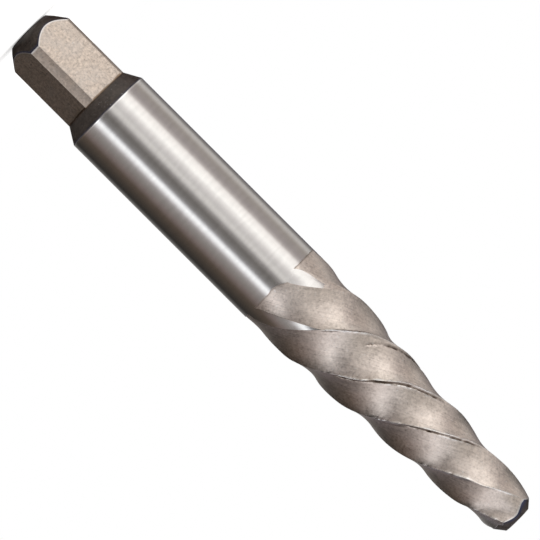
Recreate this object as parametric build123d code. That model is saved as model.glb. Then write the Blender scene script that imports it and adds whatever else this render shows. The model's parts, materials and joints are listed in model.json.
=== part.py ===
from build123d import *
import os
from math import ceil, cos, pi, radians, sin, sqrt, tan

# Driving dimensions, in millimetres and degrees

shank_diameter = 12.0
shank_length = 30.32

# Drive square, milled on a turned neck
neck_diameter = 9.58
square_across_flats = 7.68
drive_length = 12.12
end_face_diameter = 5.96
end_cone_angle = 36.5
shoulder_angle = 30.4

# Flutes: left-hand, each face bulged, deeper towards the tip
flute_count = 5
flute_length = 42.0
flute_lead = 45.2
flute_face_radius = 13.0
flute_start_depth = 0.08
flute_tip_height = 2.87
flute_phase = 7.0

# Run-in, over which a flute grows from its start to its full form
run_in_length = 5.0
run_in_face_radius = 6.75
run_in_lag = 8.0

# Tip
tip_face_diameter = 3.9
tip_chamfer_angle = 45.0

# Places along a flute at which its face is drawn, for each full turn
stations_per_turn = 32


# Worked out from the driving dimensions, measured along the axis from the drive end

neck_radius = neck_diameter / 2
shank_radius = shank_diameter / 2
shoulder_length = (shank_radius - neck_radius) / tan(radians(shoulder_angle))
shank_start = drive_length + shoulder_length
flute_start = shank_start + shank_length
overall_length = flute_start + flute_length
flute_step = 360 / flute_count


def run_in(z):
    """How much of the run-in is left: 1 where the flutes start, 0 past its end."""
    return max(0, 1 - (z - flute_start) / run_in_length) ** 2


def face_height(z):
    """Distance from the axis to the middle of a flute's face, which falls evenly to the tip."""
    start_height = shank_radius - flute_start_depth
    return start_height - (start_height - flute_tip_height) * (z - flute_start) / flute_length


def face_radius(z):
    """Radius of a face's bulge across the axis: rounder in the run-in, where the flute is shallow."""
    full_bend = 1 / flute_face_radius
    start_bend = 1 / run_in_face_radius
    return 1 / (full_bend + (start_bend - full_bend) * run_in(z))


def crest_radius(z):
    """Distance from the axis to the edge in which two neighbouring faces meet."""
    half = pi / flute_count
    back = face_radius(z) - face_height(z)
    return sqrt(face_radius(z) ** 2 - (back * sin(half)) ** 2) - back * cos(half)


def crest_angle(z):
    """Turn of one crest about the axis, in degrees. The hand is left, so it falls towards the tip."""
    return flute_phase - 360 * (z - flute_start) / flute_lead - run_in_lag * run_in(z)


def face_arc(z):
    """The bulged line that one flute's face has across the axis, from crest to crest."""
    crest = Vector(crest_radius(z), 0, z).rotate(Axis.Z, crest_angle(z))
    middle = Vector(face_height(z), 0, z).rotate(Axis.Z, crest_angle(z) + flute_step / 2)
    return ThreePointArc(crest, middle, crest.rotate(Axis.Z, flute_step))


def turned(outline):
    """Solid of revolution from half of its outline, given as radius and height."""
    return revolve(make_face(Polyline([(r, 0, z) for r, z in outline], close=True)), axis=Axis.Z)


def drive_and_shank():
    """Turned neck, shoulder and shank, with the square milled on the neck."""
    end_radius = end_face_diameter / 2
    end_cone_length = (neck_radius - end_radius) / tan(radians(end_cone_angle))
    blank = turned(
        [
            (0, 0),
            (end_radius, 0),
            (neck_radius, end_cone_length),
            (neck_radius, drive_length),
            (shank_radius, shank_start),
            (shank_radius, flute_start),
            (0, flute_start),
        ]
    )
    milled_away = Circle(shank_diameter) - Rectangle(square_across_flats, square_across_flats)
    return blank - extrude(milled_away, drive_length)


def flute_form():
    """Solid with the five twisted faces, from the start of the flutes to just past the tip."""
    spans = ceil(flute_length / flute_lead * stations_per_turn)
    arcs = [face_arc(flute_start + i * flute_lead / stations_per_turn) for i in range(spans + 1)]
    face = Shell.make_loft([Wire([arc]) for arc in arcs]).face()
    turns = [i * flute_step for i in range(flute_count)]
    sides = [face.rotate(Axis.Z, turn) for turn in turns]
    ends = [make_face([arc.rotate(Axis.Z, turn) for turn in turns]).face() for arc in (arcs[0], arcs[-1])]
    return Solid(Shell(sides + ends))


def fluted_end():
    """Bar of the shank's diameter with a chamfered tip, kept only inside the flutes' form."""
    tip_radius = tip_face_diameter / 2
    chamfer_length = (shank_radius - tip_radius) / tan(radians(tip_chamfer_angle))
    bar = turned(
        [
            (0, flute_start),
            (shank_radius, flute_start),
            (shank_radius, overall_length - chamfer_length),
            (tip_radius, overall_length),
            (0, overall_length),
        ]
    )
    return bar & flute_form()


extractor = drive_and_shank() + fluted_end()
extractor.label = "extractor"

os.makedirs("parts", exist_ok=True)
export_step(extractor, "parts/extractor.step")
print(f"overall length {overall_length:.2f} mm, volume {extractor.volume:.0f} cubic mm")
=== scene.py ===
"""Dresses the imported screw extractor: one detailed steel piece, its studio and its camera."""

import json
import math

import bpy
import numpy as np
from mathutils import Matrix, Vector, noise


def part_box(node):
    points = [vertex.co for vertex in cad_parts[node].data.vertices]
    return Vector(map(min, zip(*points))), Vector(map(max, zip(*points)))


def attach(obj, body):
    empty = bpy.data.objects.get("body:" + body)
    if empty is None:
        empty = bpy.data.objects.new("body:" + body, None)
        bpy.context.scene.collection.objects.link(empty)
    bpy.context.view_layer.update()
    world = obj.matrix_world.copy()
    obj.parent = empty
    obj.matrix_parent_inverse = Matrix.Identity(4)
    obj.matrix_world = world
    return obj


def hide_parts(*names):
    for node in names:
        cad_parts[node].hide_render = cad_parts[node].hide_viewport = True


bl_info = {
    "name": "Screw Extractor Dressing",
    "version": (1, 0, 0),
    "blender": (4, 5, 0),
    "location": "3D View > Sidebar > Extractor",
    "description": "Builds the detailed spiral screw extractor over its packed frame, and its studio",
    "category": "Object",
}

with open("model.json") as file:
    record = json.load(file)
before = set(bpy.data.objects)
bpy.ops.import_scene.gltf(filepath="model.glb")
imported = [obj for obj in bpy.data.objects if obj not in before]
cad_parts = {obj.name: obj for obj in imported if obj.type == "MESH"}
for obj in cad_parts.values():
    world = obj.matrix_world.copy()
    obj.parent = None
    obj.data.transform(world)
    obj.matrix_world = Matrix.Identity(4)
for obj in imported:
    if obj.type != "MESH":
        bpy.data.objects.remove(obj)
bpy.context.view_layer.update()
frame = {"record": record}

MM = 0.001
NODE = "extractor"
BODY = "root"

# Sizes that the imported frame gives
MOUNTS = {mount["name"]: mount for mount in frame["record"]["mounts"]}
SHANK_MOUNT = MOUNTS["shank"]
SHANK_RADIUS = SHANK_MOUNT["dims"]["r_mm"] * MM
SHANK_START = SHANK_MOUNT["pos_m"][2] - SHANK_MOUNT["dims"]["length_mm"] * MM / 2
FLAT_DISTANCE = MOUNTS["drive_flat_plus_x"]["pos_m"][0]
OVERALL_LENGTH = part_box(NODE)[1].z

# Columns of the mesh round the tool. A flute has those of half a land, fine ones beside the edge
# (distances from it in millimetres), those of its face, and the same again to the next edge.
FLUTES = 5
FLATS = 4
LAND_COLUMNS = 5
EDGE_STEPS = [0.035, 0.08, 0.135, 0.20, 0.28, 0.38, 0.52, 0.75]
FACE_COLUMNS = 27
COLUMNS_PER_FLUTE = LAND_COLUMNS + 2 * len(EDGE_STEPS) + FACE_COLUMNS
COLUMNS = FLUTES * COLUMNS_PER_FLUTE
STRIP_COLUMNS = 12
FLAT_COLUMNS = COLUMNS // FLATS - STRIP_COLUMNS

# Columns of a flute on the border between its face and the half land to each side
FIRST_BORDER = 2
LAST_BORDER = COLUMNS_PER_FLUTE - 2

# The flute of every column, and the column's number in that flute. The last column closes the turn.
FLUTE_OF_COLUMN = np.minimum(np.arange(COLUMNS + 1) // COLUMNS_PER_FLUTE, FLUTES - 1)
NUMBER_IN_FLUTE = np.arange(COLUMNS + 1) % COLUMNS_PER_FLUTE

# For every column its share of the half land, its distance from the border, which is the last fine
# one's on the face, and its share of the way across the face
LAND_SHARE = np.array([0, 0.5, *[1] * (COLUMNS_PER_FLUTE - 3), 0.5])[NUMBER_IN_FLUTE]
STEPS_IN = [0, 0, 0, *EDGE_STEPS, *[EDGE_STEPS[-1]] * FACE_COLUMNS, *EDGE_STEPS[::-1], 0, 0]
BORDER_DISTANCE = np.array(STEPS_IN)[NUMBER_IN_FLUTE] * MM
FACE_START = FIRST_BORDER + len(EDGE_STEPS)
FACE_SHARE = np.clip((NUMBER_IN_FLUTE - FACE_START) / (FACE_COLUMNS + 1), 0, 1)

# Rings of the mesh along the tool
FLAT_RINGS = 18
SHANK_RINGS = 34
FLUTE_RINGS = 290

# Finishes, in the order of the tool's materials
GROUND, SATIN, BLASTED, DARK = range(4)


def length_setting(name, default, description):
    """Setting for a length in metres."""
    kind = {"unit": "LENGTH", "subtype": "DISTANCE"}
    return bpy.props.FloatProperty(name=name, description=description, default=default, **kind)


def angle_setting(name, default, description):
    """Setting for an angle, whose default is given in degrees."""
    default = math.radians(default)
    return bpy.props.FloatProperty(name=name, description=description, default=default, subtype="ANGLE")


def colour_setting(name, default, description):
    """Setting for a colour."""
    kind = {"subtype": "COLOR", "size": 3, "min": 0, "max": 1}
    return bpy.props.FloatVectorProperty(name=name, description=description, default=default, **kind)


class ExtractorSizes(bpy.types.PropertyGroup):
    """Sizes of the tool, as the CAD part has them."""

    neck_radius: length_setting(
        "Neck radius", 4.79 * MM, "Radius of the turned neck on which the drive square is milled"
    )
    drive_length: length_setting("Drive length", 12.12 * MM, "Length of the flats from the end face")
    end_face_radius: length_setting(
        "End face radius", 2.98 * MM, "Radius of the flat end face of the drive"
    )
    end_cone_angle: angle_setting(
        "End cone angle", 36.5, "Half angle of the cone turned round the end face"
    )
    flute_start: length_setting("Flute start", SHANK_START + 30.32 * MM, "Height at which the flutes start")
    flute_lead: length_setting(
        "Flute lead", 45.2 * MM, "Height in which a flute goes once round the axis, left-hand"
    )
    flute_face_radius: length_setting(
        "Flute face radius", 13.0 * MM, "Radius of the bulge across a flute's face"
    )
    flute_start_depth: length_setting(
        "Flute start depth", 0.08 * MM, "Depth of the small step at which a flute starts"
    )
    flute_tip_height: length_setting(
        "Flute height at the tip", 2.87 * MM, "Distance from the axis to the middle of a face at the tip"
    )
    flute_phase: angle_setting(
        "Flute phase", 7.0, "Turn of the first flute edge about the axis at the start of the flutes"
    )
    run_in_length: length_setting(
        "Run-in length", 5.0 * MM, "Length over which a flute grows to its full form"
    )
    run_in_face_radius: length_setting(
        "Run-in face radius", 6.75 * MM, "Radius of the bulge at the very start of a flute"
    )
    run_in_lag: angle_setting("Run-in lag", 8.0, "Turn by which a flute edge starts behind its even spiral")
    tip_face_radius: length_setting("Tip face radius", 1.95 * MM, "Radius of the flat face of the tip")


class ExtractorFinish(bpy.types.PropertyGroup):
    """Colours of the tool's four finishes."""

    ground_colour: colour_setting(
        "Ground steel", (0.62, 0.60, 0.58), "Colour of the ground shank and lands"
    )
    satin_colour: colour_setting("Satin flutes", (0.74, 0.65, 0.585), "Colour of the milled flute faces")
    blasted_colour: colour_setting("Blasted square", (0.675, 0.58, 0.50), "Colour of the dull drive square")
    dark_colour: colour_setting(
        "Dark cones", (0.070, 0.054, 0.045), "Colour of the turned cones and the tip's chamfer"
    )


class ExtractorStudio(bpy.types.PropertyGroup):
    """Camera, floor and light."""

    camera_azimuth: angle_setting(
        "Camera azimuth", 32.6, "Turn of the camera about the tool; 0 looks along +Y"
    )
    camera_roll: angle_setting(
        "Axis slope", 44.97, "Slope of the tool's axis in the picture, tip downward to the right"
    )
    camera_distance: length_setting(
        "Camera distance", 775 * MM, "Distance from the camera to the tool's axis"
    )
    focal_length: bpy.props.FloatProperty(
        name="Focal length",
        description="Lens of the camera, for a sensor 36 mm wide",
        default=413.0,
        subtype="DISTANCE_CAMERA",
    )
    floor_radius: length_setting(
        "Floor radius", 150 * MM, "Radius of the round floor on which the tool stands"
    )
    ambient_level: bpy.props.FloatProperty(
        name="Ambient level",
        description="Strength of the even light from all round",
        default=0.7,
        min=0,
    )
    lamp_power: bpy.props.FloatProperty(
        name="Lamp power",
        description="Power of the soft lamp that gives the shadow on the floor",
        default=0.9,
        min=0,
    )


# Wander of each flute edge: height in millimetres, lead over its even spiral in degrees
CREST_WANDER = [
    [(47, 0), (52, -1.9), (54.3, 0.4), (57, 3.6), (61, 0.8), (65, 3.0), (70, 0)],
    [(53, -0.5), (57, -1.2), (60.2, -3.9), (61.6, 0), (64.5, 4), (67.6, 1.4), (70.5, 0), (74, 4), (79, 0)],
    [(54.5, 0), (57, 3.0), (60.5, -1.5), (65, 2.1), (68.5, 3.9), (72.6, 2.2), (76.5, 5.5), (81, 0)],
    [(71, 0), (75.6, 2.2), (77.8, 0.6), (80.4, -4.8), (83, -2.6), (86, 0)],
    [(53, 0), (58, -8.0), (62, -0.5), (67, -2.0), (75, 1.5), (79, -2.0), (81.7, 5.5), (84, 3.0), (86, 0.4)],
]

# Grooves beside the flute edges, in millimetres: edge, first and last height, distance from the
# edge at each of them, half width, depth, and how much painted shade darkens them. A distance
# above 0 is on the side of the tip.
EDGE_GROOVES = [
    (0, 51.6, 57.8, -0.22, -0.20, 0.22, 0.03, 0.45),
    (0, 57.2, 59.4, 1.90, 0.56, 0.24, 0.20, 1.0),
    (0, 58.8, 62.0, 0.74, 0.20, 0.30, 0.26, 1.0),
    (0, 60.2, 66.4, 0.32, 0.08, 0.44, 0.30, 1.0),
    (1, 57.0, 60.6, 0.26, 0.24, 0.20, 0.16, 1.0),
    (1, 60.0, 69.9, 0.22, 0.26, 0.23, 0.17, 0.95),
    (2, 64.5, 69.5, 0.55, 0.45, 0.12, 0.05, 0.6),
    (2, 67.6, 77.2, 0.19, 0.23, 0.18, 0.13, 0.9),
    (3, 56.0, 66.0, 0.18, 0.22, 0.16, 0.12, 0.9),
    (4, 60.0, 73.0, 0.18, 0.22, 0.17, 0.13, 0.9),
    (0, 70.0, 80.0, 0.18, 0.20, 0.15, 0.10, 0.9),
    (1, 76.0, 84.0, 0.18, 0.19, 0.15, 0.08, 0.9),
]

# Burrs along the flute edges, made bright by a painted highlight, in millimetres: edge, first and
# last height, distance from the edge, half width, height
EDGE_BURRS = [
    (0, 50.8, 58.6, 0.04, 0.18, 0.08),
    (0, 58.0, 61.0, -0.08, 0.12, 0.05),
    (1, 56.5, 69.0, -0.09, 0.13, 0.07),
    (1, 61.5, 69.4, 0.50, 0.09, 0.03),
    (2, 63.8, 69.4, 0.0, 0.22, 0.08),
    (2, 68.8, 77.0, -0.09, 0.13, 0.07),
    (2, 70.8, 77.2, 0.43, 0.09, 0.03),
    (3, 72.6, 79.6, 0.06, 0.24, 0.10),
    (3, 79.4, 85.0, 0.0, 0.12, 0.04),
    (4, 81.2, 85.8, 0.0, 0.20, 0.09),
    (3, 56.0, 66.0, -0.05, 0.08, 0.04),
    (4, 60.0, 73.0, -0.05, 0.08, 0.04),
    (0, 70.0, 80.0, -0.05, 0.08, 0.04),
    (1, 76.0, 84.0, -0.05, 0.08, 0.04),
]

# The land that the next flute's cutter ran over: its number, height in millimetres and how much
# of its half is milled there, and the height from which it is milled right across
MILLED_LAND = 4
MILLED_SHARE = [(45.3, 0), (46.5, 0.2), (47.7, 0.64), (48.6, 1)]
MILLED_ACROSS = 48.8

# Run-out of the tool's ends from the shank's axis: height and shift in millimetres, all to one side
RUNOUT = [(12, 0.055), (14, 0), (57, 0), (68, 0.05), (84, 0.10)]
RUNOUT_ANGLE = -147.4

# Faces that the cutter left fuller beside their first edge: flute, middle and reach of that
# stretch and how much fuller, in millimetres
FULLER_FACES = [(2, 73.6, 4.2, 0.03), (3, 84.6, 4.8, 0.10)]

# The tip's chamfer was ground by hand: angle round the tool in degrees, and how much further the
# chamfer reaches there, in millimetres
CHAMFER_REACH = [(-180, 0), (-147, 0.1), (-112, 0.18), (-100, 0.18), (-91, 0.07), (-80, 0.18)]
CHAMFER_REACH += [(-66, 0.30), (-56, 0.32), (-25, 0.37), (-13, -0.25), (30, -0.3), (90, 0), (180, 0)]

# Half angle in radians from which a land counts, and the half width that its columns keep where
# none is left
LEAST_LAND = 0.004
LEAST_HALF_WIDTH = 0.02 * MM

# Spacing of the rings beside a crisp edge, and how far the edge's own ring lies in
EDGE_SPACING = 0.02 * MM
EDGE_ROUNDING = 0.004 * MM

# Turn between two faces of the mesh, in degrees, from which their edge is crisp
CRISP_TURN = 24

# Rounding of the drive's end face: share of its radius, height in millimetres, wear
END_FACE_ROUNDING = [(0.12, 0, 0), (0.4, 0, 0), (0.6, 0.01, 0), (0.75, 0.03, 0), (0.86, 0.06, 0)]
END_FACE_ROUNDING += [(0.94, 0.10, 0.15), (1, 0.16, 0.15)]

# Rings of the end cone: share of its length, painted blue reflection
END_CONE_RINGS = [(0.4, 0), (0.55, 0), (0.7, 0), (0.85, 0), (0.94, 0.5)]

# Wear with a painted highlight, and painted blue reflection, of the arcs in which the end cone
# cuts the square, and the rings past them: distance in spacings, wear
ARC_WEAR = 0.3
ARC_BLUE_REFLECTION = 0.6
ARC_RINGS = [(1, 1), (5, 1), (9, 0.4)]

# Worn line along each corner of the square
CORNER_WEAR = 0.22
CORNER_WIDTH = 0.06 * MM

# Brown scale left where the flats end, the plain margins there and at the cone, and the grime on
# the strips of the neck
SCALE_WIDTH = 0.10 * MM
SCALE_MARGIN = 0.14 * MM
SCALE_FADE = 0.06 * MM
SCALE_GRIME = 0.75
FLAT_MARGIN = 0.25 * MM
STRIP_GRIME = 0.27
LEAST_LEDGE = 0.01 * MM

# Rings of the ledge at the flats' end: spacings before it, share of its height, finish, grime
LEDGE_RINGS = [(1, 0.03, BLASTED, 1), (0.5, 0.4, DARK, 1), (0, 1, DARK, 0.4)]

# Rings of the shoulder by share of its length, and its even wear
SHOULDER_RINGS = (0.1, 0.3, 0.5, 0.7, 0.9)
SHOULDER_WEAR = 0.015

# Rings of the shank's rim: spacings past the shoulder, millimetres in, finish, wear with a painted
# highlight, painted blue reflection
RIM_BLUE_REFLECTION = 0.4
RIM_RINGS = [(0, 0.012, DARK, 0.2, RIM_BLUE_REFLECTION), (3, 0.004, DARK, 0.1, 0)]
RIM_RINGS += [(4, 0, GROUND, 1, 0), (8, 0, GROUND, 0.9, 0)]

# Plain stretches of the shank after its rim and before the flutes
SHANK_MARGIN = 0.3 * MM
FLUTE_MARGIN = 0.8 * MM

# Where the cutter slipped as it started a flute, and the bite before that. Their places are
# degrees from the face's middle.
SLIPPED_FLUTE = 4
SLIP_LENGTH = 0.6 * MM
SLIP_FROM = -14.4
SLIP_OVER = 11.3
SLIP_BEND = 1.5
BITE_LENGTH = 0.14 * MM
BITE_AT = -9
BITE_OVER = 4

# Rings before the flutes' start: distance in millimetres, how far in; and of the step after it:
# distance, painted shade in the step's corner
RINGS_BEFORE_START = [(0.5, 0), (0.18, 0), (0.05, 0), (0.012, EDGE_ROUNDING)]
STEP_RINGS = [(0.03, 0.45), (0.09, 0.4), (0.17, 0.15)]
STEP_END = 0.26
TIP_MARGIN = 0.24

# Shallow waves that the cutter left on the flute faces, but not beside the edges
WAVE_SEED = 5
WAVE_DEPTH = 0.010 * MM
WAVE_LENGTH = 1.9 * MM
WAVELESS_WIDTH = 0.5 * MM

# Fading of grooves and burrs at their ends, in millimetres
GROOVE_FADE = 1.6
BURR_FADE = 1.5

# Chips out of the flute edges, and a larger one in millimetres: edge, height, half length, depth
CHIP_DEPTH = 0.06 * MM
CHIP_WIDTH = 0.07 * MM
CHIP_RARITY = 0.25
LARGE_CHIP = (0, 65, 2, 0.12)

# Half width of the bright line along a flute edge, worn steel with a painted highlight
WORN_HIGHLIGHT_LINE = 0.09 * MM

# The flute edge that is worn round at the tip: its number, and where and how much in millimetres
WORN_EDGE = 0
CORNER_FROM = 83.4
CORNER_OVER = 1.6
CORNER_DEPTH = 0.45
CORNER_HALF_WIDTH = 0.9

# Brighter steel near the tip, on the worn face and round the worn edge, partly wear and partly a
# painted highlight: heights and widths in millimetres, and the shares of the face's width over
# which it fades
WORN_FACE = 4
FACE_BRIGHT_FROM = 81.8
FACE_BRIGHT_OVER = 1.5
FACE_BRIGHTNESS = 0.8
FACE_FADES = (0.2, 0.1)
EDGE_BRIGHT_FROM = 82.6
EDGE_BRIGHT_OVER = 1.2
EDGE_BRIGHT_WIDTH = 1.3

# Rings of the flutes just before the tip's chamfer: distance in millimetres, wear with a painted
# highlight
TIP_EDGE_RINGS = [(0.17, 0.3), (0.11, 1), (0.02, 1)]
TIP_EDGE_ROUNDING = 0.005 * MM

# Rings of the chamfer: share of its length, painted blue reflection; and its margins in millimetres
CHAMFER_RINGS = [(0, 1), (0.3, 0.55), (0.6, 0.15), (1, 0)]
CHAMFER_MARGINS = (0.02, 0.05)

# First guess of the chamfer's length, and the steps in which it is found in each column
CHAMFER_GUESS = 1 * MM
CHAMFER_STEPS = 20

# Rings of the tip face's rim: millimetres below it and beyond its radius, wear; and of the face
# itself by share of its radius
TIP_RIM_RINGS = [(0.015, 0.01, 0.2), (0, -0.05, 0.1)]
TIP_FACE_RINGS = (0.85, 0.5, 0.12)

# Side of the tip on which a bluish reflection is painted on its chamfer, and its reach, in degrees
BLUE_REFLECTION_SIDE = -70
BLUE_REFLECTION_REACH = 48

# Gap between the strips of two flutes in the surface's layout
STRIP_GAP = 30 * MM
LAYOUT = "surface"

# Waves of the uneven marks: a seed, their size and their grain. Those of the flute edges are in
# millimetres, and a groove's or burr's own number is added to the seed.
START_WAVES = [(3, 0.05 * MM, 0.7 * MM)]
SCALE_WAVES = [(8, 0.08 * MM, 0.8 * MM)]
BLUE_REFLECTION_WAVES = [(17, 0.6, 0.3)]
CHIP_WAVES = [(51, 1, 0.45)]
WORN_WAVES = [(61, 0.7, 1.1)]
GROOVE_DEPTH_WAVES = [(11, 0.6, 0.9), (91, 0.9, 0.35)]
GROOVE_LINE_WAVES = [(31, 0.03, 0.7)]
BURR_HEIGHT_WAVES = [(71, 0.8, 0.8), (111, 1.5, 0.32)]
BURR_LINE_WAVES = [(131, 0.04, 0.5)]


def smooth_curve(x, places, values):
    """Soft steps from value to value, held at both ends."""
    x = np.asarray(x, float)
    result = np.full(x.shape, values[0], float)
    for x0, x1, v0, v1 in zip(places, places[1:], values, values[1:]):
        share = np.clip((x - x0) / (x1 - x0), 0, 1)
        result += (v1 - v0) * share * share * (3 - 2 * share)
    return result


def rough_line(x, seed, grain):
    """Uneven value between about -1 and 1 along a line, with bumps as long as the grain."""
    points = np.asarray(x, float).ravel() / grain
    values = [noise.noise(Vector((p, seed * 7.31, seed * 1.73))) for p in points]
    return np.reshape(values, np.shape(x))


def uneven(x, middle, waves, number=0):
    """Value that wanders round its middle along a line."""
    for seed, size, grain in waves:
        middle = middle + size * rough_line(x, seed + number, grain)
    return middle


def rough_field(points, seed, grain):
    """Uneven value between about -1 and 1 at each point of space."""
    shift = Vector((seed * 3.1, seed * 5.7, seed * 9.2))
    flat = np.asarray(points, float).reshape(-1, 3) / grain
    values = [noise.noise(Vector(p) + shift) for p in flat]
    return np.reshape(values, np.shape(points)[:-1])


def rising(x, start, over):
    """Even rise from 0 at a start to 1 past it."""
    return np.clip((x - start) / over, 0, 1)


def bell(distance, half_width):
    """Soft hump: 1 in its middle, and little left at twice its half width."""
    return np.exp(-((distance / half_width) ** 2))


class Flutes:
    """The spiral form of the fluted end, in metres and radians, by the same rules as the CAD part."""

    def __init__(self, sizes):
        self.sizes = sizes
        self.length = OVERALL_LENGTH - sizes.flute_start
        self.step = 2 * math.pi / FLUTES

    def along(self, z):
        """Distance from the start of the flutes."""
        return np.maximum(z - self.sizes.flute_start, 0)

    def run_in(self, z):
        """How much of the run-in is left, from 1 to 0."""
        return np.maximum(0, 1 - self.along(z) / self.sizes.run_in_length) ** 2

    def face_height(self, z):
        """Distance from the axis to the middle of a face."""
        start = SHANK_RADIUS - self.sizes.flute_start_depth
        return start - (start - self.sizes.flute_tip_height) * self.along(z) / self.length

    def face_radius(self, z):
        """Radius of a face's bulge across the axis."""
        full_bend = 1 / self.sizes.flute_face_radius
        start_bend = 1 / self.sizes.run_in_face_radius
        return 1 / (full_bend + (start_bend - full_bend) * self.run_in(z))

    def radius(self, z, from_middle):
        """Distance from the axis to a face, at an angle from the face's middle."""
        face_radius = self.face_radius(z)
        back = face_radius - self.face_height(z)
        return np.sqrt(face_radius**2 - (back * np.sin(from_middle)) ** 2) - back * np.cos(from_middle)

    def crest_radius(self, z):
        """Distance from the axis to the edge between two faces."""
        return self.radius(z, self.step / 2)

    def land_half_angle(self, z):
        """Half the angle of the shank's cylinder that is left between two flutes, 0 past its end."""
        face_radius = self.face_radius(z)
        back = face_radius - self.face_height(z)
        cosine = (face_radius**2 - SHANK_RADIUS**2 - back**2) / (2 * SHANK_RADIUS * back)
        half_face = np.arccos(np.clip(cosine, -1, 1))
        return np.where(self.crest_radius(z) > SHANK_RADIUS, np.maximum(0, self.step / 2 - half_face), 0)

    def crest_angle(self, z, crest):
        """Turn of a flute edge about the axis, with the small wander of the hand-fed cut."""
        even = self.sizes.flute_phase - 2 * math.pi * self.along(z) / self.sizes.flute_lead
        even = even - self.sizes.run_in_lag * self.run_in(z)
        heights, shifts = zip(*CREST_WANDER[crest % FLUTES])
        wander = smooth_curve(z, np.array(heights) * MM, -np.radians(shifts))
        return even + crest * self.step + wander


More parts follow.
